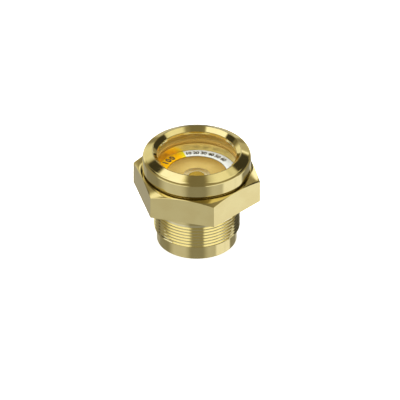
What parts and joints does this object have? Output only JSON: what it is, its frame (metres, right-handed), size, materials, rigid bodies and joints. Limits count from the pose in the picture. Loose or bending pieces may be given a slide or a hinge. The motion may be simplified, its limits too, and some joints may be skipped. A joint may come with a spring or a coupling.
{
  "type": "screw-in sight glass",
  "caption": "Brass screw-in sight glass: spanner hexagon, rolled collar over a glass disc, male thread with plain pilot, and a printed moisture indicator inside.",
  "frame": {"origin": "middle of the open end face of the pilot, which the part stands on", "axes": "+Z along the turned axis, from the pilot towards the glass; the spanner flats face +X and -X and every 60 degrees from there"},
  "size_m": [0.046, 0.0532, 0.042],
  "materials": {
    "turned_brass": "fine turned, bright",
    "clear_glass": "polished",
    "bronze_filled_seal": "bronze-filled seal material, matte",
    "drawn_brass": "drawn sheet, bright",
    "printed_label": "printed film, satin",
    "pale_brass": "bright",
    "element_felt": "dense felt, dyed amber"
  },
  "bodies": {
    "root": {"body": "turned_brass", "sight_glass": "clear_glass", "lip_washer": "bronze_filled_seal", "seat_gasket": "bronze_filled_seal", "indicator_cup": "drawn_brass", "indicator_label": "printed_label", "indicator_ferrule": "pale_brass", "moisture_element": "element_felt"}
  },
  "joints": []
}
